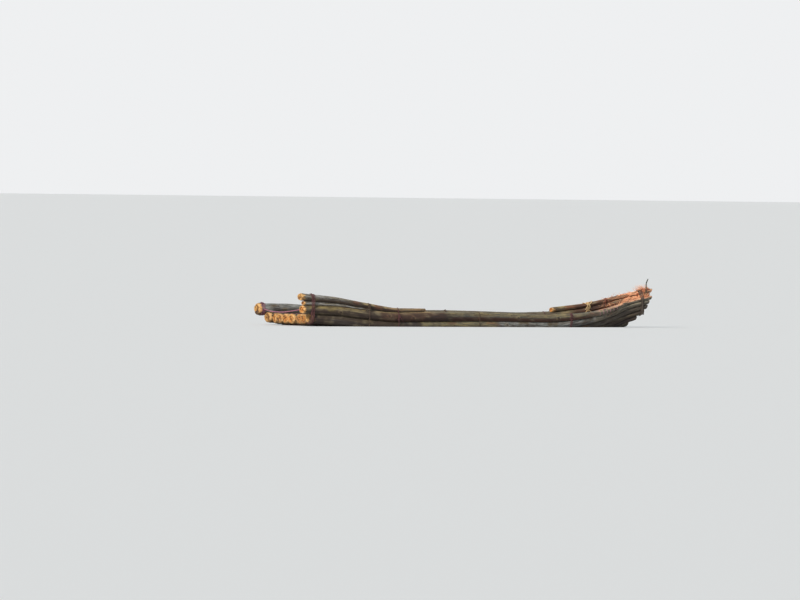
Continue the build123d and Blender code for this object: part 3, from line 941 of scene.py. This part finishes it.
def torn_finish():
    """Orange inner bark, reddish in places, with fine lines along each fibre."""
    finish = Finish("torn_bark_fibres")
    grain = finish.mark("grain", "Vector")
    place = finish.node("ShaderNodeTexCoord", {}, "Object")
    tone = finish.noise(place, (60, 120, 120), 2.0)
    fibre = finish.noise(grain, (60, 2000, 2000), 2.0)
    colour = finish.mix(tone.between(0.34, 0.54), (0.46, 0.115, 0.060), (1.0, 0.54, 0.30))
    return finish.done(finish.dim(colour, fibre * 0.7 + 0.7), 0.8, fibre, 0.0005)


piece("torn_bark_at_bow", [grid for row in torn_places for grid in torn_fibres(*row)],
      torn_finish())

# The tie stick is a thin green stick with its bark on, pushed down between the
# tips at the bow. Its top was bent over while fresh.
stick_foot, stick_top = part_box("tie_stick")
stick_step = 0.002
stick_x = stick_foot[0] + 0.004
stick_y = (stick_foot[1] + stick_top[1]) / 2
stick_line = even_points(np.array([
    (stick_x, stick_y, stick_foot[2]), (stick_x, stick_y, 0.358),
    (stick_x + 0.0125, stick_y, 0.3835)]), stick_step)
side_points = 4                 # each side of a point, in the mean that rounds the bend
weights = np.ones(2 * side_points + 1) / (2 * side_points + 1)
for k in range(3):
    stick_line[side_points:-side_points, k] = np.convolve(stick_line[:, k], weights, "valid")
run = np.arange(len(stick_line)) * stick_step
stick_angle = np.linspace(0, 2 * pi, 16, endpoint=False)
bud = sum(0.0007 * np.exp(-((run - at) / 0.004) ** 2) for at in (0.035, 0.078, 0.118, 0.150))
stick_radius = 0.0037 - 0.006 * np.clip(run - 0.09, 0, 1) + bud
stick_size = 2 * stick_radius[:, None] * (
    1 + 0.04 * ripple(61, run[:, None], stick_angle, (1, 4), (0.03, 0.2)))
stick_grid = tube(stick_line, np.tile((1.0, 0.02, 0), (len(run), 1)), stick_size, stick_size,
                  len(stick_angle), sharp=1.0)


def stick_finish():
    """Green brown bark with pale breathing pores and darker buds."""
    finish = Finish("stick_bark")
    grain = finish.mark("grain", "Vector")
    fibre = finish.noise(grain, (40, 600, 600), 3.0)
    pores = finish.noise(grain, (260, 420, 420), 1.0)
    colour = finish.mix(fibre.between(0.3, 0.7), (0.020, 0.024, 0.016), (0.062, 0.072, 0.042))
    colour = finish.mix(pores.between(0.64, 0.74) * 0.7, colour, (0.22, 0.19, 0.12))
    return finish.done(colour, 0.62, fibre, 0.0006)


piece("tie_stick_bark", [stick_grid], stick_finish(), ["tie_stick"])

# The pale floor lies at the waterline, z = 0.088, and is cut away inside the
# hull, where the boat's own floor is lower than that. A second plane
# under the boat closes the gaps between the stems.
waterline = 0.088
far = 3000.0
tucked = 0.008                  # the floor ends this far outside the stems' middles
open_x = np.linspace(-0.95, 1.05, 201)
under_x, under_y, under_z = np.array([-1.25, 1.25]), 0.36, -0.004


def waterline_edge(side):
    """Where the waterline meets the hull's side at each x: at its height, 0.088,
    on the line through the stems' middles, from the keel stem outwards, or the
    keel stem's middle where that is higher."""
    y, z, _ = np.array([disc(name, open_x) for name in chains[side]]).transpose(1, 0, 2)
    z = np.maximum.accumulate(z + 1e-6 * np.arange(len(z))[:, None], axis=0)
    return np.array([np.interp(waterline, z[:, k], y[:, k]) for k in range(len(open_x))])


def level_line(x, y, z=waterline):
    """Points at each x and y, all at one height."""
    return np.stack([x, y + 0 * x, z + 0 * x], axis=1)


def flat_sheet(name, outlines, material):
    """Strips of floor, each between two lines that have one point per x."""
    places, faces = [], []
    for first, second in outlines:
        start, count = len(places), len(first)
        places += np.concatenate([first, second]).tolist()
        faces += [(start + k, start + k + 1, start + count + k + 1, start + count + k)
                  for k in range(count - 1)]
    mesh = bpy.data.meshes.new(name)
    mesh.from_pydata(places, [], faces)
    mesh.materials.append(material)
    in_scene(name, mesh)


seeing_rays = ("Is Camera Ray", "Is Glossy Ray", "Is Transmission Ray")
floor_finish = Finish("pale_floor")
seen_directly = sum(floor_finish.node("ShaderNodeLightPath", {}, ray) for ray in seeing_rays)
floor_material = floor_finish.done(
    floor_finish.mix(seen_directly, (0.40, 0.40, 0.40), (0.80, 0.80, 0.79)), 0.9)
astern, ahead = np.array([-far, open_x[0]]), np.array([open_x[-1], far])
flat_sheet("floor_at_waterline", [
    (level_line(open_x, -far), level_line(open_x, waterline_edge("starboard") - tucked)),
    (level_line(open_x, waterline_edge("port") + tucked), level_line(open_x, far)),
    (level_line(astern, -far), level_line(astern, far)),
    (level_line(ahead, -far), level_line(ahead, far)),
], floor_material)
flat_sheet("floor_under_hull", [
    (level_line(under_x, -under_y, under_z), level_line(under_x, under_y, under_z))],
    floor_material)

# The light is plain and soft: a pale sky all round and one broad warm lamp,
# low over the stern.
world = Finish("world", "worlds")
bpy.context.scene.world = world.made
any_ray, *other_rays = (world.node("ShaderNodeLightPath", {}, ray) for ray in seeing_rays)
for ray in other_rays:
    any_ray = any_ray.math("MAXIMUM", ray)
sky, backdrop = (
    world.node("ShaderNodeBackground", {"Color": opaque(colour), "Strength": strength})
    for colour, strength in (((0.76, 0.87, 1.0), 0.50), ((0.86, 0.87, 0.88), 1.0)))
world.feed(world.tree.nodes["World Output"].inputs["Surface"],
           world.node("ShaderNodeMixShader", {0: any_ray, 1: sky, 2: backdrop}))
lamp = bpy.data.lights.new("low_lamp", "SUN")
lamp.energy = 3.0
lamp.color = (1.0, 0.93, 0.82)
lamp.angle = radians(12)
in_scene("low_lamp", lamp).rotation_euler = Vector(
    (0.80, 0.36, -0.48)).to_track_quat("-Z", "Y").to_euler()
bpy.context.scene.view_settings.view_transform = "Standard"
